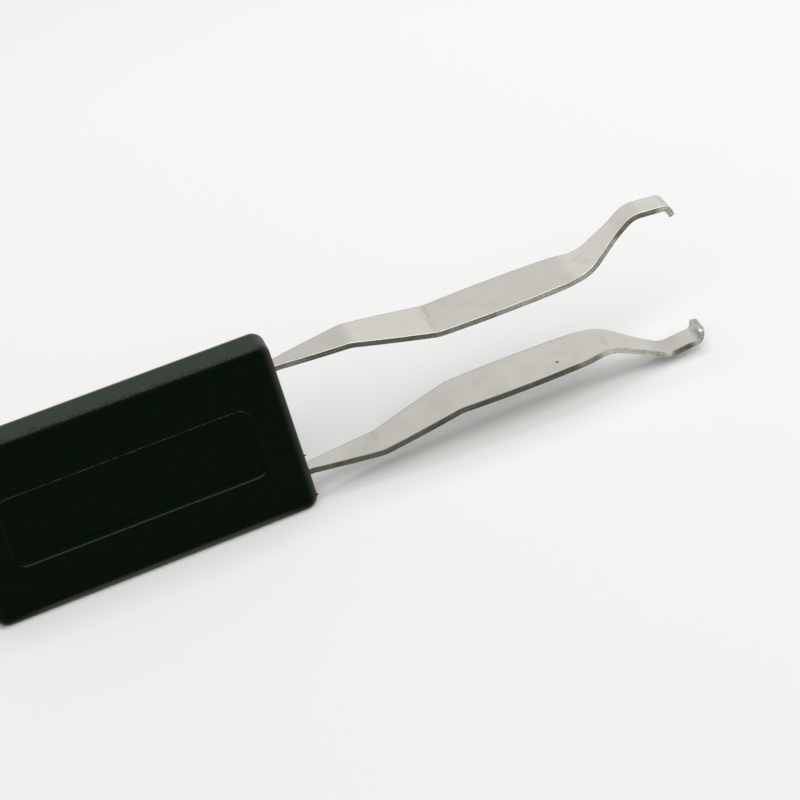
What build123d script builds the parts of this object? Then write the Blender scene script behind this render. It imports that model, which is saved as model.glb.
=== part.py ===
"""Keycap puller: a moulded handle block with one folded spring-steel strip that makes both legs.

Frame: millimetres, +X along the puller towards its hooks, +Y through the handle's thickness, +Z up.
The puller stands on one long narrow side of the handle. The origin is the centre of that side.
"""
import os

from build123d import *
from math import atan, cos, radians, sin, tan

# Handle block, which narrows slightly towards the legs
handle_length = 40.0
handle_rear_width = 23.2
handle_front_width = 22.6
handle_thickness = 5.0
handle_corner_radius = 1.6
handle_edge_radius = 1.2

# Sunk panel in each large face of the handle
panel_length = 31.0
panel_width = 9.0
panel_depth = 0.45
panel_corner_radius = 1.5
panel_wall_slope = 25.0
panel_floor_radius = 0.22
panel_lip_radius = 0.3

# Spring strip: sheet thickness, and the widths of its flat pattern
strip_thickness = 0.7
neck_width = 2.0
blade_width = 7.9
blade_ease = 0.55
tip_width = 3.35
taper_head_radius = 6.0
taper_foot_radius = 6.0

# Stretches of one leg along the middle line, from the handle's end face out to the hook
anchor_depth = 32.0
shoulder_reach = 9.0
shoulder_to_waist = 9.9
waist_to_flare = 19.2
flare_to_elbow = 6.5
elbow_to_hook = 4.3
hook_length = 1.5
hook_angle = 74.0
hook_corner_radius = 0.55

# How far the middle of the sheet stands off the middle line at each bend
anchor_offset = 6.35
shoulder_offset = 7.43
waist_offset = 5.27
elbow_offset = 9.52
hook_drop = 0.39

# Bend radii at the middle of the sheet
anchor_bend = 3.0
shoulder_bend = 5.0
waist_bend = 5.3
flare_bend = 5.0
elbow_bend = 3.3
hook_bend = 0.9

# Where the flat pattern changes, measured from the handle's end face and from the bends
neck_reach = 0.6
blade_past_waist = 7.9
taper_before_flare = 3.2
tip_before_elbow = 2.3

# Places worked out from the sizes above
front_face = handle_thickness / 2
taper_angle = atan((handle_rear_width - handle_front_width) / 2 / handle_length)
base_length = handle_length / cos(taper_angle)

# Middle line of the handle, which the legs follow: local x runs out of the handle's end face,
# local y across the gap between the legs. It dips so that the tapered handle's lower side is level.
middle_line = Plane(
    origin=(
        base_length / 2 + handle_front_width / 2 * sin(taper_angle),
        0,
        handle_front_width / 2 * cos(taper_angle),
    ),
    x_dir=(cos(taper_angle), 0, -sin(taper_angle)),
    z_dir=(0, -1, 0),
)

# The same line with local y through the handle's thickness, for the flat pattern of the strip
strip_blank = Plane(origin=middle_line.origin, x_dir=middle_line.x_dir, z_dir=middle_line.y_dir)

# Distance of each bend from the handle's end face
waist_reach = shoulder_reach + shoulder_to_waist
flare_reach = waist_reach + waist_to_flare
elbow_reach = flare_reach + flare_to_elbow
hook_reach = elbow_reach + elbow_to_hook
hook_offset = elbow_offset - hook_drop

# Straight part of each hook, past its bend
hook_flat = hook_length - hook_bend * tan(radians(hook_angle) / 2)

# One leg from its hook's tip to the fold inside the handle, as (reach, offset)
hook_tip = (
    hook_reach + hook_length * cos(radians(hook_angle)),
    hook_offset - hook_length * sin(radians(hook_angle)),
)
leg_points = [
    hook_tip,
    (hook_reach, hook_offset),
    (elbow_reach, elbow_offset),
    (flare_reach, waist_offset),
    (waist_reach, waist_offset),
    (shoulder_reach, shoulder_offset),
    (-anchor_depth, anchor_offset),
]
leg_bends = [hook_bend, elbow_bend, flare_bend, waist_bend, shoulder_bend, anchor_bend]

# The whole strip runs from the upper hook through the fold to the lower hook
strip_points = leg_points + [(reach, -offset) for reach, offset in reversed(leg_points)]
strip_bends = leg_bends + leg_bends[::-1]

# Flat pattern stations, from past the fold to past the hooks, and the width where the taper starts
blank_rear = -anchor_depth - strip_thickness
blade_reach = waist_reach + blade_past_waist
taper_reach = flare_reach - taper_before_flare
tip_reach = elbow_reach - tip_before_elbow
blank_front = hook_tip[0] + strip_thickness
taper_width = blade_width - blade_ease

# Spring legs: the bent ribbon at full blade width, cut to the leaf-shaped flat pattern, with the
# corners of each hook's end rounded
with BuildPart() as spring_legs:
    with BuildSketch(middle_line):
        with BuildLine():
            FilletPolyline(*strip_points, radius=strip_bends)
        trace(line_width=strip_thickness)
    extrude(amount=blade_width / 2, both=True)

    with BuildSketch(strip_blank) as flat_pattern:
        with BuildLine():
            Line((blank_rear, 0), (blank_rear, neck_width / 2))
            Line((blank_rear, neck_width / 2), (neck_reach, neck_width / 2))
            TangentArc((blade_reach, blade_width / 2), (neck_reach, neck_width / 2), tangent=(-1, 0))
            TangentArc((blade_reach, blade_width / 2), (taper_reach, taper_width / 2), tangent=(1, 0))
            Line((taper_reach, taper_width / 2), (tip_reach, tip_width / 2))
            Line((tip_reach, tip_width / 2), (blank_front, tip_width / 2))
            Line((blank_front, tip_width / 2), (blank_front, 0))
            mirror(about=Plane.XZ)
        make_face()
        taper_heads = flat_pattern.vertices().filter_by(lambda v: abs(v.X - taper_reach) < 1e-4)
        fillet(taper_heads, radius=taper_head_radius)
        taper_feet = flat_pattern.vertices().filter_by(lambda v: abs(v.X - tip_reach) < 1e-4)
        fillet(taper_feet, radius=taper_foot_radius)
    extrude(amount=elbow_offset + strip_thickness, both=True, mode=Mode.INTERSECT)

    for side in (1, -1):
        hook_end = middle_line.from_local_coords((hook_tip[0], side * hook_tip[1], 0))
        end_face = spring_legs.faces().sort_by_distance(hook_end)[0]
        end_corners = end_face.edges().sort_by(SortBy.LENGTH)[:2]
        fillet(end_corners, radius=min(hook_corner_radius, hook_flat * 0.9, tip_width * 0.45))

spring_legs.part.label = "spring_legs"

# Handle: one half with its rounded edges and sunk panel, mirrored, then closed round the strip
with BuildPart() as handle:
    with BuildSketch(middle_line) as handle_outline:
        with BuildLine():
            Polyline(
                (-handle_length, -handle_rear_width / 2),
                (0, -handle_front_width / 2),
                (0, handle_front_width / 2),
                (-handle_length, handle_rear_width / 2),
                close=True,
            )
        make_face()
        fillet(handle_outline.vertices(), radius=handle_corner_radius)
    extrude(amount=front_face)
    fillet(handle.faces().sort_by(Axis.Y)[0].edges(), radius=handle_edge_radius)

    with BuildSketch(middle_line.offset(front_face)):
        with Locations((-handle_length / 2, 0)):
            RectangleRounded(panel_length, panel_width, panel_corner_radius)
    extrude(amount=-panel_depth, taper=panel_wall_slope, mode=Mode.SUBTRACT)
    panel_floor = handle.faces().filter_by(Axis.Y).sort_by(Axis.Y)[1]
    fillet(panel_floor.edges(), radius=min(panel_floor_radius, panel_depth / 2))
    panel_lip = handle.faces().filter_by(Axis.Y).sort_by(Axis.Y)[0].inner_wires()[0].edges()
    fillet(panel_lip, radius=min(panel_lip_radius, panel_depth * 0.7))
    mirror(about=Plane.XZ)
    add(spring_legs.part, mode=Mode.SUBTRACT)

handle.part.label = "handle"

os.makedirs("parts", exist_ok=True)
export_step(handle.part, "parts/handle.step")
export_step(spring_legs.part, "parts/spring_legs.step")
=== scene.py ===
"""Looks of a keycap puller: a moulded black handle and one folded strip of spring steel, on a white sweep.

The puller's sizes are millimetres until a mesh is made, which turns them into metres. The studio's are
metres. The axes are the part's own: +X along the puller towards its hooks, +Y through the handle's
thickness, +Z up.
"""

import logging
from dataclasses import dataclass, field
from enum import Enum
from typing import Any

import bpy
import numpy as np
from bpy.types import Material, Node, NodeOutputs, NodeSocket, NodeTree, Object
from mathutils import Matrix


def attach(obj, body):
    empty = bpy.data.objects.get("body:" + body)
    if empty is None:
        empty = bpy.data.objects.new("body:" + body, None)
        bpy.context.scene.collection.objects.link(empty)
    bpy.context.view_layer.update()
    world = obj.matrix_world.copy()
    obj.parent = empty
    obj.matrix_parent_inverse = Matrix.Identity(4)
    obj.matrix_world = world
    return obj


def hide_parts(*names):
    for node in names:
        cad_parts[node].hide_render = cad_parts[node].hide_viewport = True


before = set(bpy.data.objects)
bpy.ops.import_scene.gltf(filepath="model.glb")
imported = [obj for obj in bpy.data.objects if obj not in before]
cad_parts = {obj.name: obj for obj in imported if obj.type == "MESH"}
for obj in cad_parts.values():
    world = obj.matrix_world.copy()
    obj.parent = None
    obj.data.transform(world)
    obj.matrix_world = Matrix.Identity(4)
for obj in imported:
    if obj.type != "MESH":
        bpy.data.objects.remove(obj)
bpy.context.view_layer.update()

MM = 0.001
log = logging.getLogger("keycap_puller")

# Attributes of the strip: each point's place in the unbent sheet, and how far it lies on a sheared edge.
SHEET_PLACE = "blank"
SHEARED_SHARE = "sheared"

Pair = tuple[float, float]
Triple = tuple[float, float, float]

# A level is a number or an output that carries one, and a colour is sRGB hex or such an output.
Level = NodeSocket | float
Colour = NodeSocket | str


class Slot(Enum):
    """Material slots of the part's record."""

    PLASTIC = "black_plastic"
    STEEL = "spring_steel"


class CadNode(Enum):
    """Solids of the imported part."""

    HANDLE = "handle"
    SPRING_LEGS = "spring_legs"


class Leg(Enum):
    """The two legs of the strip, by the side of the middle line that they lie on."""

    UPPER = 1
    LOWER = -1


# A run of a leg: the leg, the reach of both ends, and a level.
LegRun = tuple[Leg, float, float, float]

# A mark in the unbent sheet: place and half-sizes along, across and through the sheet, and darkness.
SheetMark = tuple[Triple, Triple, float]


def linear(hex_colour: str) -> tuple[float, ...]:
    """Turn an sRGB colour into the linear colour that a shader takes.

    Args:
        hex_colour: Colour as "#rrggbb".

    Returns:
        Red, green, blue and an alpha of 1.
    """
    srgb = np.array([int(hex_colour[i : i + 2], 16) for i in (1, 3, 5)]) / 255
    rgb = np.where(srgb <= 0.04045, srgb / 12.92, ((srgb + 0.055) / 1.055) ** 2.4)
    return (*rgb.tolist(), 1.0)


def add_node(tree: NodeTree, kind: str, inputs: dict[Any, Any], **settings: Any) -> Node:
    """Add one node with its settings, values and links.

    Args:
        tree: Node tree that takes the node.
        kind: Type of node, without the ShaderNode that all types start with.
        inputs: Input name or number, with a value for it or an output to link to it.
        **settings: Properties of the node itself.

    Returns:
        The new node.
    """
    node = tree.nodes.new(f"ShaderNode{kind}")
    for name, value in settings.items():
        setattr(node, name, value)
    for name, value in inputs.items():
        if isinstance(value, NodeSocket):
            tree.links.new(value, node.inputs[name])
        else:
            node.inputs[name].default_value = value
    return node


def new_material(name: str) -> tuple[Material, NodeTree]:
    """Make a material with no nodes in its tree yet.

    Args:
        name: Name of the material.

    Returns:
        The material and its node tree.
    """
    material = bpy.data.materials.new(name)
    material.use_nodes = True
    material.node_tree.nodes.clear()
    return material, material.node_tree


def calculate(tree: NodeTree, operation: str, *levels: Level) -> NodeSocket:
    """Work out a level from one, two or three others."""
    return add_node(tree, "Math", dict(enumerate(levels)), operation=operation).outputs[0]


def calculate_vector(tree: NodeTree, operation: str, *vectors: NodeSocket | Triple) -> NodeOutputs:
    """Work out the outputs Vector and Value from one or two vectors."""
    return add_node(tree, "VectorMath", dict(enumerate(vectors)), operation=operation).outputs


def scale_vector(tree: NodeTree, vector: NodeSocket, level: Level) -> NodeSocket:
    """Multiply a vector or a colour by a level."""
    return add_node(tree, "VectorMath", {0: vector, "Scale": level}, operation="SCALE").outputs[0]


def multiply(tree: NodeTree, first: NodeSocket, *others: Level) -> NodeSocket:
    """Multiply any number of levels, such as masks.

    Args:
        tree: Node tree that takes the nodes.
        first: Output that carries the first level.
        *others: Levels to multiply it by.

    Returns:
        Output that carries the product.
    """
    for other in others:
        first = calculate(tree, "MULTIPLY", first, other)
    return first


def mix_levels(tree: NodeTree, share: Level, first: Level, second: Level) -> NodeSocket:
    """Mix two levels, where share is the part of the second."""
    return add_node(tree, "Mix", {0: share, 2: first, 3: second}).outputs[0]


def mix_colours(tree: NodeTree, share: Level, first: Colour, second: Colour) -> NodeSocket:
    """Mix two colours, where share is the part of the second."""
    ends = [linear(colour) if isinstance(colour, str) else colour for colour in (first, second)]
    return add_node(tree, "Mix", {0: share, 6: ends[0], 7: ends[1]}, data_type="RGBA").outputs[2]


def noise(tree: NodeTree, place: NodeSocket, grain: float, detail: float = 2.0) -> NodeSocket:
    """Make noise from 0 to 1 whose grain has a size in the units of the place, with finer layers in it."""
    inputs = {"Vector": place, "Scale": 1 / grain, "Detail": detail}
    return add_node(tree, "TexNoise", inputs).outputs["Fac"]


def spread(
    tree: NodeTree,
    value: NodeSocket,
    ends: Pair = (0.0, 1.0),
    levels: Pair = (0.0, 1.0),
    curve: str = "LINEAR",
) -> NodeSocket:
    """Turn a range of a value into a range of levels, which holds its end levels outside that range.

    Args:
        tree: Node tree that takes the node.
        value: Output that carries the value.
        ends: Ends of the value's range.
        levels: Levels at those ends.
        curve: Way from one end to the other.

    Returns:
        Output that carries the level.
    """
    span = dict(zip(("From Min", "From Max", "To Min", "To Max"), ends + levels))
    node = add_node(tree, "MapRange", {"Value": value, **span}, interpolation_type=curve)
    return node.outputs["Result"]


def above(tree: NodeTree, value: NodeSocket, limit: float, soft: float) -> NodeSocket:
    """Make a mask that is 1 where a value is over a limit and fades over soft to both sides of it."""
    return spread(tree, value, (limit - soft, limit + soft), curve="SMOOTHSTEP")


def below(tree: NodeTree, value: NodeSocket, limit: float, soft: float) -> NodeSocket:
    """Make a mask that is 1 where a value is under a limit and fades over soft to both sides of it."""
    return spread(tree, value, (limit + soft, limit - soft), curve="SMOOTHSTEP")


def between(tree: NodeTree, value: NodeSocket, low: float, high: float, soft: float) -> NodeSocket:
    """Make a mask that is 1 where a value lies between two limits and fades over soft at each."""
    return multiply(tree, above(tree, value, low, soft), below(tree, value, high, soft))


def level_by_run(
    tree: NodeTree, along: NodeSocket, runs: tuple[Triple, ...], rest: float, soft: float
) -> Level:
    """Make a level that changes from run to run along a strip.

    Args:
        tree: Node tree that takes the level.
        along: Output that carries the place along the strip.
        runs: Start and end of each run, and what it adds to the level.
        rest: Level outside the runs.
        soft: Half of the length over which the level changes.

    Returns:
        Output that carries the level.
    """
    level: Level = rest
    for start, end, more in runs:
        level = calculate(tree, "MULTIPLY_ADD", between(tree, along, start, end, soft), more, level)
    return level


def make_tube(name: str, rings_mm: np.ndarray) -> Object:
    """Make a closed mesh from rings of points, with a flat cap on each end and its faces outward.

    Each quad joins two neighbours of a ring to the same two of the next ring. The sum of a . (b x c + c x d)
    over the quads a, b, c, d has the sign of the volume, and where it is negative the faces are turned.

    Args:
        name: Name of the object.
        rings_mm: Points shaped (rings, around, 3), in millimetres.

    Returns:
        The object, linked to the scene.
    """
    rings, around, _ = rings_mm.shape
    points = rings_mm.reshape(-1, 3)
    start = np.arange(rings - 1)[:, None] * around
    here = np.arange(around)
    there = (here + 1) % around
    corners = [start + here, start + there, start + around + there, start + around + here]
    quads = np.stack(corners, axis=-1).reshape(-1, 4)
    a, b, c, d = (points[quads[:, i]] for i in range(4))
    volume = np.einsum("ij,ij->", a, np.cross(b, c) + np.cross(c, d))
    first, last = here[::-1], here + (rings - 1) * around
    if volume < 0:
        quads, first, last = quads[:, ::-1], first[::-1], last[::-1]
    mesh = bpy.data.meshes.new(name)
    mesh.from_pydata((points * MM).tolist(), [], quads.tolist() + [first.tolist(), last.tolist()])
    smooth = np.ones(len(quads) + 2, dtype=bool)
    smooth[-2:] = False
    mesh.polygons.foreach_set("use_smooth", smooth)
    mesh.validate()
    made = bpy.data.objects.new(name, mesh)
    bpy.context.scene.collection.objects.link(made)
    return made


@dataclass(frozen=True)
class MouldedBlackPlastic:
    """Black thermoplastic from a spark-eroded mould.

    The fine grain scatters the light, so a face seen square on is almost black, while the upper side, seen
    at a low angle, carries a broad sheen, whose greenish grey is painted sheen in the colour of that side.
    The long lips of the sunk panel are smoothed by rubbing, so the lower one shows as a thin bright line and
    the upper one as dashes. Light is painted on the edges: a pale speckled highlight on the upper front edge,
    a pale highlight along the upper rear edge, a dull grey sheen on the end towards the legs, and a dull grey
    reflection of the paper on the lower edges.
    """

    name: str = "black_thermoplastic_spark_eroded_mould"
    pigment: str = "#001102"
    pigment_warm: str = "#0a0506"
    # Painted sheen: the colour of the upper side, greener and greyer than the front's.
    upper: str = "#022403"
    painted_upper_sheen_grey: str = "#0e1c10"
    # Painted light on the edges: highlights along the top, sheen on the end, the paper's reflection below.
    painted_front_edge_glint: str = "#3b3c39"
    painted_rim_highlight: str = "#7c8077"
    painted_end_sheen: str = "#272b27"
    painted_lower_reflection: str = "#2d3228"
    face_sheen: str = "#2e472c"
    lip_sheen: str = "#e6ebe2"
    gloss: float = 0.22
    gloss_lip: float = 0.5
    gloss_upper_lip: float = 1.0
    roughness: Pair = (0.34, 0.44)
    roughness_lip: float = 0.2
    mottle_mm: float = 0.45
    # Real spark grain is about 0.05 mm. It is drawn coarser so that the picture can hold it.
    grain_mm: float = 0.22
    grain_height_mm: float = 0.012
    # Most of the mottle and the grain lies between these.
    noise_ends: Pair = (0.35, 0.65)
    speckle_low: float = 0.35
    # Limit and softness of the surface's direction, for the upper side's painted sheen and each painted edge.
    upward: Pair = (0.93, 0.05)
    upper_edge: Pair = (0.72, 0.12)
    sideways: Pair = (0.12, 0.08)
    endward: Pair = (0.55, 0.45)
    downward: Pair = (-0.15, 0.12)
    # How far the painted edge runs reach in from their sides, and how far from the ends the lower one stops.
    end_mm: float = 2.5
    bottom_mm: float = 3.0
    top_mm: float = 3.5
    run_soft_mm: float = 1.0
    rear_clear_mm: float = 5.0
    front_clear_mm: float = 4.0
    clear_soft_mm: float = 2.5
    # Lips of the panel: their width from its outline, how far they are let down, and how they fade and break.
    lip_mm: Pair = (0.0, 0.15)
    lip_soft_mm: float = 0.06
    lip_drop_mm: float = 0.05
    lip_short_mm: float = 0.6
    lip_fade_mm: float = 0.5
    dash_mm: float = 0.8
    dash: Pair = (0.5, 0.07)

    def build(self, handle: "Handle") -> Material:
        """Build the node material.

        Args:
            handle: Block that wears the plastic.

        Returns:
            The material.
        """
        material, tree = new_material(self.name)
        spot = add_node(tree, "TexCoord", {}).outputs
        place = scale_vector(tree, spot["Object"], 1 / MM)
        facing = add_node(tree, "SeparateXYZ", {0: spot["Normal"]}).outputs
        lip, upper_half = self.lip_masks(tree, place, handle)
        mottle = noise(tree, place, self.mottle_mm, detail=4.0)
        grain = noise(tree, place, self.grain_mm)
        share = spread(tree, mottle, self.noise_ends)
        pigment = mix_colours(tree, share, self.pigment, self.pigment_warm)
        # Painted sheen: the upper side takes a greener, greyer colour of its own.
        upper = mix_colours(tree, share, self.upper, self.painted_upper_sheen_grey)
        colour = mix_colours(tree, above(tree, facing["Z"], *self.upward), pigment, upper)
        # Painted highlights, sheen and reflection on the edges.
        painted_edges = (self.painted_end_sheen, self.painted_lower_reflection, self.painted_front_edge_glint, self.painted_rim_highlight)
        for edge_light, edge_light_colour in zip(self.painted_edge_masks(tree, place, facing, grain, handle), painted_edges):
            colour = mix_colours(tree, edge_light, colour, edge_light_colour)
        face_roughness = spread(tree, mottle, levels=self.roughness)
        lip_gloss = mix_levels(tree, upper_half, self.gloss_lip, self.gloss_upper_lip)
        relief = {"Height": grain, "Strength": 1.0, "Distance": self.grain_height_mm * MM}
        shader = add_node(
            tree,
            "BsdfPrincipled",
            {
                "Base Color": colour,
                "Roughness": mix_levels(tree, lip, face_roughness, self.roughness_lip),
                "Specular IOR Level": mix_levels(tree, lip, self.gloss, lip_gloss),
                "Specular Tint": mix_colours(tree, lip, self.face_sheen, self.lip_sheen),
                "Normal": add_node(tree, "Bump", relief).outputs["Normal"],
            },
        )
        add_node(tree, "OutputMaterial", {"Surface": shader.outputs["BSDF"]})
        return material

    def painted_edge_masks(
        self, tree: NodeTree, place: NodeSocket, facing: NodeOutputs, grain: NodeSocket, handle: "Handle"
    ) -> list[NodeSocket]:
        """Mark painted light on the end, the lower edges and the upper edges, where they lean from straight
        up.

        Args:
            tree: Node tree that takes the masks.
            place: Output that carries the place on the block, in millimetres.
            facing: Outputs that carry the parts of the surface's direction.
            grain: Output that carries the mould's grain.
            handle: Block that wears the plastic.

        Returns:
            Outputs that carry the masks of the end, of the lower edges, of the upper front edge, which is
            speckled, and of the upper rear edge.
        """
        spot = add_node(tree, "SeparateXYZ", {0: place}).outputs
        half = handle.length / 2
        at_end = above(tree, spot["X"], half - self.end_mm, self.run_soft_mm)
        clear = (self.rear_clear_mm - half, half - self.front_clear_mm)
        off_corners = between(tree, spot["X"], *clear, self.clear_soft_mm)
        bottom = below(tree, spot["Z"], self.bottom_mm, self.run_soft_mm)
        top = above(tree, spot["Z"], handle.front_width - self.top_mm, self.run_soft_mm)
        lean = above(tree, facing["Z"], *self.upper_edge)
        side, side_soft = self.sideways
        # The painted highlight on the upper front edge is broken into speckles by the grain.
        speckle = spread(tree, grain, self.noise_ends, (self.speckle_low, 1.0))
        return [
            multiply(tree, above(tree, facing["X"], *self.endward), at_end),
            multiply(tree, below(tree, facing["Z"], *self.downward), bottom, off_corners),
            multiply(tree, below(tree, facing["Y"], -side, side_soft), top, lean, speckle),
            multiply(tree, above(tree, facing["Y"], side, side_soft), top, lean),
        ]

    def lip_masks(self, tree: NodeTree, place: NodeSocket, handle: "Handle") -> tuple[NodeSocket, NodeSocket]:
        """Mark the two long lips of the sunk panel.

        The distance from the panel's outline is that of a rectangle with round corners: with q the place
        less the half-sizes, both drawn in by the corner's radius, it is |max(q, 0)| + min(max q, 0) - radius.
        The outline is let down a little, because each lip shines on its lower part.

        Args:
            tree: Node tree that takes the mask.
            place: Output that carries the place on the block, in millimetres.
            handle: Block that has the panel.

        Returns:
            Outputs that carry the mask of both lips and the mask of the panel's upper half.
        """
        origin, out, up = handle.axes()
        middle = origin - out * handle.length / 2 - up * self.lip_drop_mm
        offset = calculate_vector(tree, "SUBTRACT", place, tuple(middle))["Vector"]
        run, reach, beyond = [], [], []
        for axis, size in ((out, handle.panel_length), (up, handle.panel_width)):
            run.append(calculate_vector(tree, "DOT_PRODUCT", offset, tuple(axis))["Value"])
            reach.append(calculate(tree, "ABSOLUTE", run[-1]))
            beyond.append(calculate(tree, "SUBTRACT", reach[-1], size / 2 - handle.panel_corner))
        past = {i: calculate(tree, "MAXIMUM", q, 0.0) for i, q in enumerate(beyond)}
        corner = add_node(tree, "CombineXYZ", past).outputs[0]
        outside = calculate_vector(tree, "LENGTH", corner)["Value"]
        inside = calculate(tree, "MINIMUM", calculate(tree, "MAXIMUM", *beyond), 0.0)
        distance = calculate(tree, "SUBTRACT", calculate(tree, "ADD", outside, inside), handle.panel_corner)
        ring = between(tree, distance, *self.lip_mm, self.lip_soft_mm)
        long_sides = below(tree, reach[0], handle.panel_length / 2 - self.lip_short_mm, self.lip_fade_mm)
        upper = above(tree, run[1], 0.0, self.lip_fade_mm)
        dashes = above(tree, noise(tree, place, self.dash_mm), *self.dash)
        return multiply(tree, ring, long_sides, mix_levels(tree, upper, 1.0, dashes)), upper


@dataclass(frozen=True)
class Mark:
    """Dark place on a leg's face: one of the pits, painted shade in a bend's crease, or a faint mark across a
    bend.

    The reach, the place across and the half-sizes are millimetres, and darkness is its share of the colour.
    """

    leg: Leg
    reach: float
    across: float
    half_along: float
    half_across: float
    darkness: float


@dataclass(frozen=True)
class SheetRuns:
    """Runs of the unbent sheet, each with its start, its end and a level, and marks."""

    burnish_and_painted_reflection: tuple[Triple, ...]
    painted_face_shading: tuple[Triple, ...]
    hooks: tuple[Triple, ...]
    marks: tuple[SheetMark, ...]


@dataclass(frozen=True)
class SheetGrain:
    """Grain with its own size along, across and through the sheet, and its darkest and palest level."""

    sizes_mm: Triple
    levels: Pair
    # Most of a noise lies between these.
    noise_ends: Pair = (0.3, 0.7)

    def build(self, tree: NodeTree, sheet: NodeSocket) -> NodeSocket:
        """Make noise in the unbent sheet, whose place is divided by the grain's sizes."""
        place = calculate_vector(tree, "DIVIDE", sheet, self.sizes_mm)["Vector"]
        return spread(tree, noise(tree, place, grain=1.0, detail=3.0), self.noise_ends, self.levels)


@dataclass(frozen=True)
class RolledSpringSteel:
    """Bright cold-rolled spring steel, blanked from sheet and bent.

    The rolled faces mirror the white room softly, with a faint short grain, dull clouds and warm patches.
    Painted shading draws some runs between the bends brighter and others duller, painted shade lies in the
    crease of the waist bend, and the faces are scored at the hooks. The sheared edges are torn in layers
    along the sheet, so they are dull and dark, and they are paler in runs that stand partly for burnish and
    partly for a painted reflection of the lit paper.
    """

    name: str = "spring_steel_cold_rolled_sheared"
    rolled: str = "#cdcac5"
    rolled_dull: str = "#bfbfb8"
    rolled_warm: str = "#cdc5be"
    torn: str = "#4f5248"
    # Pale edge colour: partly burnish, partly a painted reflection of the lit paper.
    burnish_and_painted_reflection: str = "#bdbcb2"
    # Colour of the pits, and of the painted shade in the creases of bends.
    pit_and_crease_shade: str = "#1c1b19"
    roughness: Pair = (0.24, 0.34)
    roughness_torn: float = 0.5
    cloud_mm: float = 2.4
    patch_mm: float = 6.0
    # Ends of the clouds and patches, from bright to dull and from cool to warm.
    dull_ends: Pair = (0.1, 0.45)
    warm_ends: Pair = (0.4, 0.65)
    # Half of the length over which a run of the sheet fades, and half of the share of a mark that fades.
    face_shading_soft_mm: float = 0.7
    pale_edge_soft_mm: float = 0.6
    hook_soft_mm: float = 0.25
    mark_soft: float = 0.5
    # Rolling lines are a few hundredths of a millimetre apart. They are drawn wide enough to see.
    streak: SheetGrain = SheetGrain((1.6, 0.3, 1.0), (0.36, 0.64))
    layer: SheetGrain = SheetGrain((2.2, 3.0, 0.16), (0.7, 1.3))
    shear_line: SheetGrain = SheetGrain((0.17, 3.0, 0.9), (0.75, 1.25))
    score: SheetGrain = SheetGrain((0.17, 1.0, 0.4), (0.45, 1.15))

    def build(self, runs: SheetRuns) -> Material:
        """Build the node material.

        Args:
            runs: Runs and marks of the sheet that wears the steel.

        Returns:
            The material.
        """
        material, tree = new_material(self.name)
        sheet = add_node(tree, "Attribute", {}, attribute_name=SHEET_PLACE).outputs["Vector"]
        sheared = add_node(tree, "Attribute", {}, attribute_name=SHEARED_SHARE).outputs["Fac"]
        along = add_node(tree, "SeparateXYZ", {0: sheet}).outputs["X"]
        face, dullness = self.rolled_face(tree, sheet)
        # Painted shading: runs of face between the bends are drawn brighter or duller.
        face_shading = level_by_run(tree, along, runs.painted_face_shading, 1.0, self.face_shading_soft_mm)
        face = scale_vector(tree, face, face_shading)
        for mark in runs.marks:
            face = self.marked(tree, sheet, face, mark)
        # Pale runs of edge: partly burnish, partly a painted reflection of the lit paper.
        pale = level_by_run(tree, along, runs.burnish_and_painted_reflection, 0.0, self.pale_edge_soft_mm)
        edge = self.sheared_edge(tree, sheet, pale)
        hook = level_by_run(tree, along, runs.hooks, 0.0, self.hook_soft_mm)
        scored = mix_levels(tree, hook, 1.0, self.score.build(tree, sheet))
        face_roughness = spread(tree, dullness, levels=self.roughness)
        shader = add_node(
            tree,
            "BsdfPrincipled",
            {
                "Base Color": scale_vector(tree, mix_colours(tree, sheared, face, edge), scored),
                "Metallic": 1.0,
                "Roughness": mix_levels(tree, sheared, face_roughness, self.roughness_torn),
            },
        )
        add_node(tree, "OutputMaterial", {"Surface": shader.outputs["BSDF"]})
        return material

    def marked(self, tree: NodeTree, sheet: NodeSocket, colour: NodeSocket, mark: SheetMark) -> NodeSocket:
        """Lay one dark mark over a colour.

        Args:
            tree: Node tree that takes the nodes.
            sheet: Output that carries the place in the unbent sheet.
            colour: Output that carries the colour under the mark.
            mark: Mark to lay.

        Returns:
            Output that carries the colour with the mark.
        """
        place, sizes, darkness = mark
        offset = calculate_vector(tree, "SUBTRACT", sheet, place)["Vector"]
        scaled = calculate_vector(tree, "DIVIDE", offset, sizes)["Vector"]
        away = calculate_vector(tree, "LENGTH", scaled)["Value"]
        share = multiply(tree, below(tree, away, 1.0, self.mark_soft), darkness)
        return mix_colours(tree, share, colour, self.pit_and_crease_shade)

    def rolled_face(self, tree: NodeTree, sheet: NodeSocket) -> tuple[NodeSocket, NodeSocket]:
        """Colour the rolled faces.

        Args:
            tree: Node tree that takes the nodes.
            sheet: Output that carries the place in the unbent sheet.

        Returns:
            Outputs that carry the colour and how dull the face is.
        """
        cloud = noise(tree, sheet, self.cloud_mm, detail=5.0)
        patch = noise(tree, sheet, self.patch_mm)
        dullness = spread(tree, multiply(tree, cloud, self.streak.build(tree, sheet)), self.dull_ends)
        clean = mix_colours(tree, spread(tree, patch, self.warm_ends), self.rolled, self.rolled_warm)
        return mix_colours(tree, dullness, clean, self.rolled_dull), dullness

    def sheared_edge(self, tree: NodeTree, sheet: NodeSocket, pale: Level) -> NodeSocket:
        """Colour the sheared edges: torn or pale, in layers, with fine lines through the thickness.

        Args:
            tree: Node tree that takes the nodes.
            sheet: Output that carries the place in the unbent sheet.
            pale: Output that carries how pale the edge is, for burnish and for a painted reflection of the
                paper.

        Returns:
            Output that carries the colour.
        """
        colour = mix_colours(tree, pale, self.torn, self.burnish_and_painted_reflection)
        for grain in (self.layer, self.shear_line):
            colour = scale_vector(tree, colour, grain.build(tree, sheet))
        return colour


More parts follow.
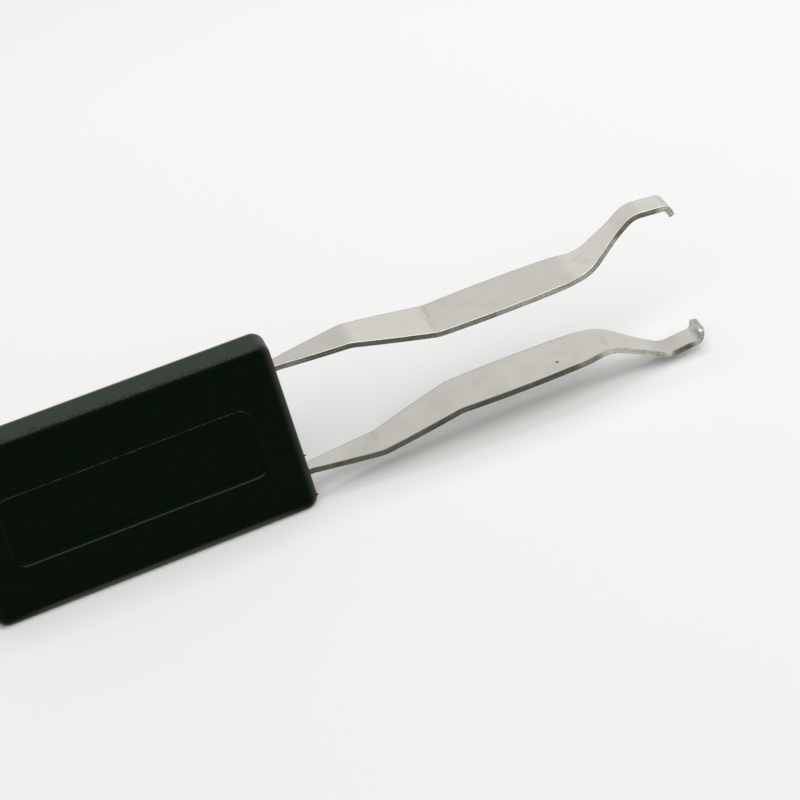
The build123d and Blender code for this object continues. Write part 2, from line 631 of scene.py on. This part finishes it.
@dataclass(frozen=True)
class PaperSweep:
    """Matt white paper that the puller stands on.

    It takes a soft shadow and shows no mirror image. Its colour carries painted shade: a little greyer
    towards the camera and to the left, where a sweep leaves the light. The places where it is greyest and
    whitest are metres.
    """

    name: str = "white_paper_matt"
    # Painted shade: the paper's colour where it is greyest and where it is whitest.
    near: str = "#e7e7e6"
    far: str = "#f8f8f7"
    grey_at: float = -0.07
    white_at: float = 0.14
    lean: float = 0.3

    def build(self) -> Material:
        """Build the node material.

        Returns:
            The material.
        """
        material, tree = new_material(self.name)
        place = add_node(tree, "TexCoord", {}).outputs["Object"]
        depth = calculate_vector(tree, "DOT_PRODUCT", place, (self.lean, 1.0, 0.0))["Value"]
        share = spread(tree, depth, (self.grey_at, self.white_at))
        white = mix_colours(tree, share, self.near, self.far)
        paper = add_node(tree, "BsdfDiffuse", {"Color": white})
        add_node(tree, "OutputMaterial", {"Surface": paper.outputs["BSDF"]})
        return material


@dataclass
class Handle:
    """Moulded handle block, which stays as the CAD solid and gets its plastic here."""

    rear_width: float = 23.2
    front_width: float = 22.6
    length: float = 40.0
    panel_length: float = 31.0
    panel_width: float = 9.0
    panel_corner: float = 1.5

    def axes(self) -> tuple[np.ndarray, np.ndarray, np.ndarray]:
        """Find the middle line of the tapered block, which dips so that the lower side is level.

        Returns:
            Middle of the end face, the direction out of it, and the direction from lower to upper side.
        """
        dip = np.arctan((self.rear_width - self.front_width) / 2 / self.length)
        out = np.array([np.cos(dip), 0.0, -np.sin(dip)])
        up = np.array([np.sin(dip), 0.0, np.cos(dip)])
        origin = np.array([self.length / np.cos(dip) / 2, 0.0, 0.0]) + up * self.front_width / 2
        return origin, out, up

    def placed(self, reach: np.ndarray, across: np.ndarray, rise: np.ndarray) -> np.ndarray:
        """Place points by distance out of the end face, through the thickness and above the middle line."""
        origin, out, up = self.axes()
        return origin + np.stack([reach, across, rise], axis=-1) @ np.stack([out, (0.0, 1.0, 0.0), up])

    def dress(self, material: Material) -> None:
        """Give the CAD solid its plastic.

        Args:
            material: Finish of the block.
        """
        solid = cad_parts[CadNode.HANDLE.value]
        solid.data.materials.clear()
        solid.data.materials.append(material)
        log.info("handle: %d faces", len(solid.data.polygons))


@dataclass
class FlashBurr:
    """Torn point of plastic that the mould's seam left on the handle's end.

    A cone whose radius falls as (1 - h) to the power of blunt, flattened through the thickness and leaning
    to one side as the square of the height h.
    """

    name: str
    place: Triple
    height: float
    root_radius: float
    flatness: float = 0.5
    lean: float = 0.08
    blunt: float = 0.7
    # Shares of the height: how deep the root is sunk in the block, and where the point is torn off.
    sunk: float = 0.3
    torn_at: float = 0.98
    rings: int = 12
    around: int = 14

    def build(self, handle: Handle, material: Material) -> Object:
        """Build the burr on the handle.

        Args:
            handle: Block that carries the burr.
            material: Finish of the burr.

        Returns:
            The burr.
        """
        height = np.linspace(-self.sunk, self.torn_at, self.rings)[:, None]
        angle = np.linspace(0, 2 * np.pi, self.around, endpoint=False)[None, :]
        radius = self.root_radius * np.clip(1 - height, 0, 1) ** self.blunt
        reach = self.place[0] + self.height * height + 0 * angle
        across = self.place[1] + self.flatness * radius * np.cos(angle)
        rise = self.place[2] + radius * np.sin(angle) + self.lean * height**2
        made = make_tube(self.name, handle.placed(reach, across, rise))
        made.data.materials.append(material)
        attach(made, "root")
        log.info("%s: %d faces", self.name, len(made.data.polygons))
        return made


@dataclass
class LeafPattern:
    """Half-width of the flat strip along its reach: narrow neck, long leaf, straight taper, narrow tip."""

    neck_width: float = 2.0
    blade_width: float = 7.9
    taper_width: float = 7.35
    tip_width: float = 3.35
    neck_reach: float = 0.6
    blade_reach: float = 26.8
    taper_reach: float = 34.9
    tip_reach: float = 42.3
    head_radius: float = 6.0
    foot_radius: float = 6.0

    def leaf_arc(self, reach: np.ndarray, end_reach: float, end_width: float) -> np.ndarray:
        """Follow the arc that is level at the widest place and passes through an end of the leaf.

        Args:
            reach: Distances from the handle's end face.
            end_reach: Reach of that end.
            end_width: Full width at that end.

        Returns:
            Half-widths.
        """
        drop = (self.blade_width - end_width) / 2
        radius = ((self.blade_reach - end_reach) ** 2 + drop**2) / (2 * drop)
        run = np.clip(reach - self.blade_reach, -radius, radius)
        return self.blade_width / 2 - radius + np.sqrt(radius**2 - run**2)

    def half_width(self, reach: np.ndarray) -> np.ndarray:
        """Half-width of the strip.

        Two arcs make the leaf and a line makes the taper. Where the line turns at its head and its foot, a
        round of the corner's radius lies tangent to both sides.

        Args:
            reach: Distances from the handle's end face.

        Returns:
            Half-widths, in the same shape.
        """
        slope = np.arctan2(self.tip_width - self.taper_width, 2 * (self.tip_reach - self.taper_reach))
        drop = (self.blade_width - self.taper_width) / 2
        lead = -2 * np.arctan2(drop, self.taper_reach - self.blade_reach)
        neck = self.leaf_arc(reach, self.neck_reach, self.neck_width)
        leaf = self.leaf_arc(reach, self.taper_reach, self.taper_width)
        line = self.taper_width / 2 + (reach - self.taper_reach) * np.tan(slope)
        tip = np.full_like(reach, self.tip_width / 2)
        stations = [self.neck_reach, self.blade_reach, self.taper_reach, self.tip_reach]
        before = [reach < station for station in stations]
        wide = np.select(before, [np.full_like(reach, self.neck_width / 2), neck, leaf, line], tip)
        wide = self.ease(reach, wide, (self.taper_reach, self.taper_width / 2), lead, slope, self.head_radius)
        return self.ease(reach, wide, (self.tip_reach, self.tip_width / 2), slope, 0.0, self.foot_radius)

    @staticmethod
    def ease(
        reach: np.ndarray, wide: np.ndarray, corner: Pair, turn_from: float, turn_to: float, radius: float
    ) -> np.ndarray:
        """Round one corner of the outline by the arc that is tangent to both of its sides.

        Args:
            reach: Distances from the handle's end face.
            wide: Half-widths with the sharp corner.
            corner: Reach and half-width of the corner.
            turn_from: Direction of the outline before the corner.
            turn_to: Direction after it.
            radius: Radius of the round.

        Returns:
            Half-widths with the round in place.
        """
        side = np.sign(turn_to - turn_from)
        length = radius * np.tan(abs(turn_to - turn_from) / 2)
        start = corner[0] - length * np.cos(turn_from)
        end = corner[0] + length * np.cos(turn_to)
        middle = start - side * radius * np.sin(turn_from)
        height = corner[1] - length * np.sin(turn_from) + side * radius * np.cos(turn_from)
        run = np.clip(reach - middle, -radius, radius)
        round_part = height - side * np.sqrt(radius**2 - run**2)
        return np.where((reach > start) & (reach < end), round_part, wide)


@dataclass
class BentLine:
    """Middle of the sheet: straight runs joined by round bends, in the plane of reach and offset."""

    corners: np.ndarray
    radii: np.ndarray
    step: float = 0.3
    bend_points: int = 15

    def sample(self) -> tuple[np.ndarray, np.ndarray, np.ndarray]:
        """Walk the line.

        Each bend is an arc tangent to the two runs that meet at its corner. It starts radius times the
        tangent of half the turn before the corner.

        Returns:
            Points, unit directions, and the distance walked to each point.
        """
        heading = np.diff(self.corners, axis=0)
        heading /= np.linalg.norm(heading, axis=1, keepdims=True)
        before, after = heading[:-1], heading[1:]
        turn = np.arctan2(
            before[:, 0] * after[:, 1] - before[:, 1] * after[:, 0], np.sum(before * after, axis=1)
        )
        left = np.stack([-before[:, 1], before[:, 0]], axis=1)
        start = self.corners[1:-1] - (self.radii * np.tan(abs(turn) / 2))[:, None] * before
        centre = start + (np.sign(turn) * self.radii)[:, None] * left
        angle = turn[:, None] * np.linspace(0, 1, self.bend_points)[None, :]
        spin = np.stack(
            [np.stack([np.cos(angle), -np.sin(angle)], -1), np.stack([np.sin(angle), np.cos(angle)], -1)], -2
        )
        arcs = centre[:, None] + np.einsum("bpij,bj->bpi", spin, start - centre)
        headings = np.einsum("bpij,bj->bpi", spin, before)
        starts = np.concatenate([self.corners[:1], arcs[:, -1]])
        ends = np.concatenate([arcs[:, 0], self.corners[-1:]])
        points, directions = [], []
        for run, (first, last) in enumerate(zip(starts, ends)):
            count = max(2, int(np.ceil(np.linalg.norm(last - first) / self.step)))
            share = np.linspace(0, 1, count)[:, None]
            share = share if run == len(arcs) else share[:-1]
            share = share if run == 0 else share[1:]
            points.append(first + share * (last - first))
            directions.append(np.repeat(heading[run : run + 1], len(share), axis=0))
            if run < len(arcs):
                points.append(arcs[run])
                directions.append(headings[run])
        walked = np.concatenate(points)
        gone = np.concatenate([[0.0], np.cumsum(np.linalg.norm(np.diff(walked, axis=0), axis=1))])
        return walked, np.concatenate(directions), gone


@dataclass
class SpringStrip:
    """Both legs and the hidden fold between them: one strip of sheet steel, bent from the flat.

    Its surface is a rectangle with broken corners, carried along the bent middle line. Each point of the
    rectangle takes the leaf's half-width at its own reach, as a straight punch cuts it.
    """

    thickness: float = 0.7
    # Rounds of the outer corners, which have the burr, and of the inner ones, which the punch rolled in.
    burr_round: float = 0.035
    roll_round: float = 0.06
    # Distance from a round to the next point of the face or the edge, which keeps their shading flat.
    hold: float = 0.1
    edge_hold: float = 0.02
    edge_points: int = 4
    corner_points: int = 5
    tip_round: float = 0.55
    tip_points: int = 12
    # Points of the middle line that lie nearer to each other than this are one.
    closest: float = 1e-4
    pattern: LeafPattern = field(default_factory=LeafPattern)
    marks: tuple[Mark, ...] = (
        # Two pits, painted shade in the waist bend's crease, and faint dark places across other bends.
        Mark(Leg.LOWER, 31.58, -1.5, 0.16, 0.22, 1.0),
        Mark(Leg.LOWER, 32.4, 3.7, 0.09, 0.12, 0.9),
        Mark(Leg.UPPER, 18.9, 2.6, 0.35, 1.1, 0.12),
        Mark(Leg.UPPER, 18.9, 1.0, 0.22, 0.8, 0.16),
        Mark(Leg.UPPER, 18.6, -1.4, 0.25, 1.6, 0.08),
        Mark(Leg.UPPER, 37.4, 0.9, 0.9, 0.5, 0.08),
        Mark(Leg.UPPER, 38.2, -0.6, 0.5, 0.7, 0.07),
        Mark(Leg.LOWER, 8.8, 1.2, 0.4, 1.1, 0.09),
        Mark(Leg.LOWER, 37.8, -0.6, 0.4, 1.5, 0.08),
    )
    # Runs of paler edge, each with its paleness: partly burnish, partly a painted reflection of the lit
    # paper.
    burnish_and_painted_reflection: tuple[LegRun, ...] = (
        (Leg.UPPER, -2.0, 3.6, 0.18),
        (Leg.UPPER, 3.6, 18.5, 0.05),
        (Leg.UPPER, 18.5, 26.0, 0.2),
        (Leg.UPPER, 26.0, 42.2, 0.5),
        (Leg.UPPER, 42.2, 47.8, 0.14),
        (Leg.UPPER, 47.8, 52.0, 0.8),
        (Leg.LOWER, -2.0, 14.0, 0.04),
        (Leg.LOWER, 33.6, 36.6, 0.25),
        (Leg.LOWER, 36.6, 45.2, 0.85),
        (Leg.LOWER, 43.0, 44.3, -0.3),
        (Leg.LOWER, 45.2, 46.8, 0.1),
        (Leg.LOWER, 48.0, 52.0, 0.8),
    )
    # Runs of face with painted shading, each with how much brighter or duller it is drawn.
    painted_face_shading: tuple[LegRun, ...] = (
        (Leg.UPPER, -2.0, 9.2, -0.1),
        (Leg.UPPER, 9.2, 18.3, 0.09),
        (Leg.UPPER, 18.3, 35.8, -0.03),
        (Leg.UPPER, 35.8, 42.6, 0.09),
        (Leg.UPPER, 45.6, 52.0, 0.15),
        (Leg.LOWER, -2.0, 9.2, -0.05),
        (Leg.LOWER, 4.5, 9.2, -0.07),
        (Leg.LOWER, 9.2, 18.3, -0.08),
        (Leg.LOWER, 18.3, 25.0, -0.05),
        (Leg.LOWER, 43.0, 46.6, -0.12),
        (Leg.LOWER, 46.6, 52.0, -0.05),
    )
    # Scored length of each hook, and how far past the end the score is carried on.
    scored: float = 1.7
    past_end: float = 1.0
    hook_length: float = 1.5
    hook_angle: float = 74.0
    # Reach, offset and bend radius of each corner of one leg, from the hook back to the fold.
    bends: tuple[Triple, ...] = (
        (48.9, 9.13, 0.9),
        (44.6, 9.52, 3.3),
        (38.1, 5.27, 5.0),
        (18.9, 5.27, 5.3),
        (9.0, 7.43, 5.0),
        (-32.0, 6.35, 3.0),
    )

    def line(self) -> BentLine:
        """Lay out the middle line from the upper hook, round the fold, to the lower hook.

        Returns:
            The line, whose two halves are mirror images.
        """
        bends = np.array(self.bends)
        angle = np.radians(self.hook_angle)
        tip = bends[0, :2] + self.hook_length * np.array([np.cos(angle), -np.sin(angle)])
        leg = np.concatenate([tip[None], bends[:, :2]])
        corners = np.concatenate([leg, leg[::-1] * [1, -1]])
        return BentLine(corners, np.concatenate([bends[:, 2], bends[::-1, 2]]))

    def walk(self) -> tuple[np.ndarray, np.ndarray, np.ndarray]:
        """Walk the middle line, with extra points where the corners of the two ends are round.

        Returns:
            Points, unit directions, and the distance walked to each point.
        """
        points, heading, gone = self.line().sample()
        near = self.tip_round * (1 - np.cos(np.linspace(0, np.pi / 2, self.tip_points)))
        finer = np.unique(np.concatenate([gone, near, gone[-1] - near]).round(6))
        finer = finer[np.diff(finer, prepend=-1.0) > self.closest]
        walked = np.stack([np.interp(finer, gone, points[:, i]) for i in (0, 1)], axis=1)
        turned = np.stack([np.interp(finer, gone, heading[:, i]) for i in (0, 1)], axis=1)
        return walked, turned / np.linalg.norm(turned, axis=1, keepdims=True), finer

    def tip_inset(self, gone: np.ndarray) -> np.ndarray:
        """How far the round corners of an end draw in the outline.

        With d the distance from the nearer end, the inset is r - sqrt(r^2 - (r - d)^2) while d is under r.

        Args:
            gone: Distances walked along the strip.

        Returns:
            Insets, in the same shape.
        """
        from_end = np.minimum(gone, gone[-1] - gone)
        short = np.clip(self.tip_round - from_end, 0, self.tip_round)
        return self.tip_round - np.sqrt(self.tip_round**2 - short**2)

    def section(self) -> tuple[np.ndarray, ...]:
        """Lay out the rectangle that is carried along the strip.

        Each corner is a quarter of a circle: at angle a it lies r (1 - sin a) in from one side of the
        rectangle and r (1 - cos a) from the other.

        Returns:
            Side of the strip (-1 near, 1 far), inset from the leaf's outline, offset to the strip's outer
            face, and how far the point lies on a sheared edge, for each point round the rectangle.
        """
        half = self.thickness / 2
        angle = np.linspace(0, np.pi / 2, self.corner_points)
        burr, roll = self.burr_round, self.roll_round
        edge = np.linspace(half - burr - self.edge_hold, -half + roll + self.edge_hold, self.edge_points)
        burr_inset, burr_drop = burr * (1 - np.sin(angle)), burr * (1 - np.cos(angle))
        roll_inset, roll_drop = roll * (1 - np.cos(angle)), roll * (1 - np.sin(angle))
        inset = np.r_[burr + self.hold, burr_inset, 0 * edge, roll_inset, roll + self.hold]
        offset = np.r_[half, half - burr_drop, edge, roll_drop - half, -half]
        torn = np.ones(self.edge_points + 2 * self.corner_points)
        far = np.concatenate([[0.0], torn, [0.0]])
        # The burr of the near side is rubbed as bright as the faces.
        near = np.where(np.arange(len(far)) <= self.corner_points, 0.0, far)
        side = np.repeat([-1.0, 1.0], len(inset))
        return side, np.r_[inset, inset[::-1]], np.r_[offset, offset[::-1]], np.r_[near, far[::-1]]

    def along(self, leg: Leg, reach: float) -> float:
        """Find how far along the unbent sheet a place on a leg lies.

        Args:
            leg: Leg that has the place.
            reach: Distance of the place from the handle's end face.

        Returns:
            Distance from the upper hook's end, carried on past the lower hook's end for a reach beyond it.
        """
        points, _, gone = self.line().sample()
        mine = points[:, 1] * leg.value > 0
        order = np.argsort(points[mine, 0], kind="stable")
        found = np.interp(reach, points[mine, 0][order], gone[mine][order])
        past = max(0.0, reach - float(points[:, 0].max()))
        return float(found - leg.value * past)

    def by_run(self, table: tuple[LegRun, ...]) -> tuple[Triple, ...]:
        """Turn runs of the legs into runs of the unbent sheet.

        Args:
            table: Runs of both legs.

        Returns:
            Start and end along the sheet, and level, of each run.
        """
        runs = []
        for leg, first, last, level in table:
            start, end = sorted((self.along(leg, first), self.along(leg, last)))
            runs.append((start, end, level))
        return tuple(runs)

    def runs(self) -> SheetRuns:
        """Lay out the runs and marks in the unbent sheet.

        Returns:
            The runs and marks, for the steel.
        """
        length = float(self.line().sample()[2][-1])
        upper_hook = (-self.past_end, self.scored, 1.0)
        lower_hook = (length - self.scored, length + self.past_end, 1.0)
        hooks = (upper_hook, lower_hook)
        marks = tuple(
            (
                (self.along(mark.leg, mark.reach), mark.across, mark.leg.value * self.thickness / 2),
                (mark.half_along, mark.half_across, self.thickness / 2),
                mark.darkness,
            )
            for mark in self.marks
        )
        return SheetRuns(self.by_run(self.burnish_and_painted_reflection), self.by_run(self.painted_face_shading), hooks, marks)

    def build(self, handle: Handle, material: Material) -> Object:
        """Build the strip in place of the CAD solid.

        A point lies at the middle line's point plus its offset along the line's outward normal, and across
        by its side times the leaf's half-width less the insets of the section and of the strip's end.

        Args:
            handle: Block that holds the strip's fold.
            material: Finish of the strip.

        Returns:
            The strip.
        """
        points, heading, gone = self.walk()
        tip_inset = self.tip_inset(gone)
        outward = np.stack([heading[:, 1], -heading[:, 0]], axis=1)
        side, inset, offset, sheared = self.section()
        reach = points[:, :1] + offset * outward[:, :1]
        rise = points[:, 1:] + offset * outward[:, 1:]
        across = side * (self.pattern.half_width(reach) - tip_inset[:, None] - inset)
        made = make_tube("spring_strip", handle.placed(reach, across, rise))
        along = np.broadcast_to(gone[:, None], across.shape)
        through = np.broadcast_to(offset, across.shape)
        blank = np.stack([along, across, through], axis=-1).astype(np.float32)
        places = made.data.attributes.new(SHEET_PLACE, "FLOAT_VECTOR", "POINT")
        places.data.foreach_set("vector", blank.ravel())
        torn = np.broadcast_to(sheared, across.shape).astype(np.float32)
        shares = made.data.attributes.new(SHEARED_SHARE, "FLOAT", "POINT")
        shares.data.foreach_set("value", torn.ravel())
        made.data.materials.append(material)
        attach(made, "root")
        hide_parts(CadNode.SPRING_LEGS.value)
        log.info("spring_strip: %d faces", len(made.data.polygons))
        return made


@dataclass(frozen=True)
class Softbox:
    """Rectangular soft light that faces a point by the puller. Angles are degrees, and sizes metres."""

    name: str
    azimuth: float
    elevation: float
    distance: float
    width: float
    height: float
    watts: float
    aim: Triple = (0.02, 0.0, 0.01)

    def build(self) -> None:
        """Hang the light at its angles from the aim point, which it faces."""
        turn, lift = np.radians([self.azimuth, self.elevation])
        back = np.array([np.cos(lift) * np.cos(turn), np.cos(lift) * np.sin(turn), np.sin(lift)])
        right = np.array([-np.sin(turn), np.cos(turn), 0.0])
        lamp = bpy.data.lights.new(self.name, "AREA")
        lamp.shape = "RECTANGLE"
        lamp.size, lamp.size_y = self.width, self.height
        lamp.energy = self.watts
        place = np.eye(4)
        place[:3, :3] = np.stack([right, np.cross(back, right), back], axis=1)
        place[:3, 3] = np.array(self.aim) + self.distance * back
        softbox = bpy.data.objects.new(self.name, lamp)
        softbox.matrix_world = Matrix(place.tolist())
        bpy.context.scene.collection.objects.link(softbox)
        log.info("%s: %.1f W", self.name, self.watts)


@dataclass
class Studio:
    """White sweep, a softbox by the camera and one overhead, pale room light, and the photo's camera."""

    floor_half: float = 2.5
    softboxes: tuple[Softbox, ...] = (
        Softbox(
            "softbox_front", azimuth=-70.0, elevation=45.0, distance=1.3, width=2.4, height=0.9, watts=20.2
        ),
        Softbox(
            "softbox_top",
            azimuth=90.0,
            elevation=87.0,
            distance=1.0,
            width=0.6,
            height=0.5,
            watts=3.2,
            aim=(0.12, 0.0, 0.01),
        ),
    )
    room: str = "#858585"
    backdrop: str = "#fbfbf9"
    sensor_mm: float = 36.0
    focal_length_mm: float = 144.0
    clip_m: Pair = (0.01, 20.0)
    camera_mm: Triple = (-5.46284, -322.212, 191.68927)
    camera_right: Triple = (0.92707217, -0.26255492, -0.2675857)
    camera_up: Triple = (0.36053959, 0.42889355, 0.82828831)
    camera_back: Triple = (-0.10270539, -0.86435828, 0.49227672)

    def build_floor(self, material: Material) -> None:
        """Lay the paper.

        Args:
            material: Finish of the paper.
        """
        half = self.floor_half
        corners = [(-half, -half, 0.0), (half, -half, 0.0), (half, half, 0.0), (-half, half, 0.0)]
        mesh = bpy.data.meshes.new("paper_sweep")
        mesh.from_pydata(corners, [], [range(4)])
        mesh.materials.append(material)
        floor = bpy.data.objects.new("paper_sweep", mesh)
        bpy.context.scene.collection.objects.link(floor)
        log.info("paper_sweep: %.1f m square", 2 * self.floor_half)

    def build_lights(self) -> None:
        """Hang the softboxes, and light the room: dim for what it lights, white for what is seen of it."""
        for softbox in self.softboxes:
            softbox.build()
        world = bpy.data.worlds.new("white_room")
        world.use_nodes = True
        tree = world.node_tree
        tree.nodes.clear()
        path = add_node(tree, "LightPath", {}).outputs
        seen = calculate(tree, "MAXIMUM", path["Is Camera Ray"], path["Is Glossy Ray"])
        room = add_node(tree, "Background", {"Color": linear(self.room)}).outputs[0]
        backdrop = add_node(tree, "Background", {"Color": linear(self.backdrop)}).outputs[0]
        both = add_node(tree, "MixShader", {0: seen, 1: room, 2: backdrop})
        add_node(tree, "OutputWorld", {"Surface": both.outputs[0]})
        bpy.context.scene.world = world

    def build_camera(self) -> None:
        """Set the camera at the photo's angle and distance."""
        lens = bpy.data.cameras.new("photo_camera")
        lens.sensor_width = self.sensor_mm
        lens.lens = self.focal_length_mm
        lens.clip_start, lens.clip_end = self.clip_m
        camera = bpy.data.objects.new("photo_camera", lens)
        place = np.eye(4)
        place[:3, :3] = np.stack([self.camera_right, self.camera_up, self.camera_back], axis=1)
        place[:3, 3] = np.array(self.camera_mm) * MM
        camera.matrix_world = Matrix(place.tolist())
        bpy.context.scene.collection.objects.link(camera)
        bpy.context.scene.camera = camera
        log.info("photo_camera: %.0f mm lens", self.focal_length_mm)


def main() -> None:
    """Build the puller and its studio."""
    logging.basicConfig(level=logging.INFO)
    bpy.context.scene.view_settings.view_transform = "Standard"
    handle = Handle()
    strip = SpringStrip()
    plastic = MouldedBlackPlastic().build(handle)
    steel = RolledSpringSteel().build(strip.runs())
    handle.dress(plastic)
    strip.build(handle, steel)
    burrs = [
        FlashBurr("flash_burr_upper", place=(-0.02, -1.6, -4.5), height=0.28, root_radius=0.11),
        FlashBurr("flash_burr_lower", place=(-0.35, -1.8, -9.9), height=0.5, root_radius=0.22),
    ]
    for burr in burrs:
        burr.build(handle, plastic)
    studio = Studio()
    studio.build_floor(PaperSweep().build())
    studio.build_lights()
    studio.build_camera()


if __name__ == "__main__":
    main()
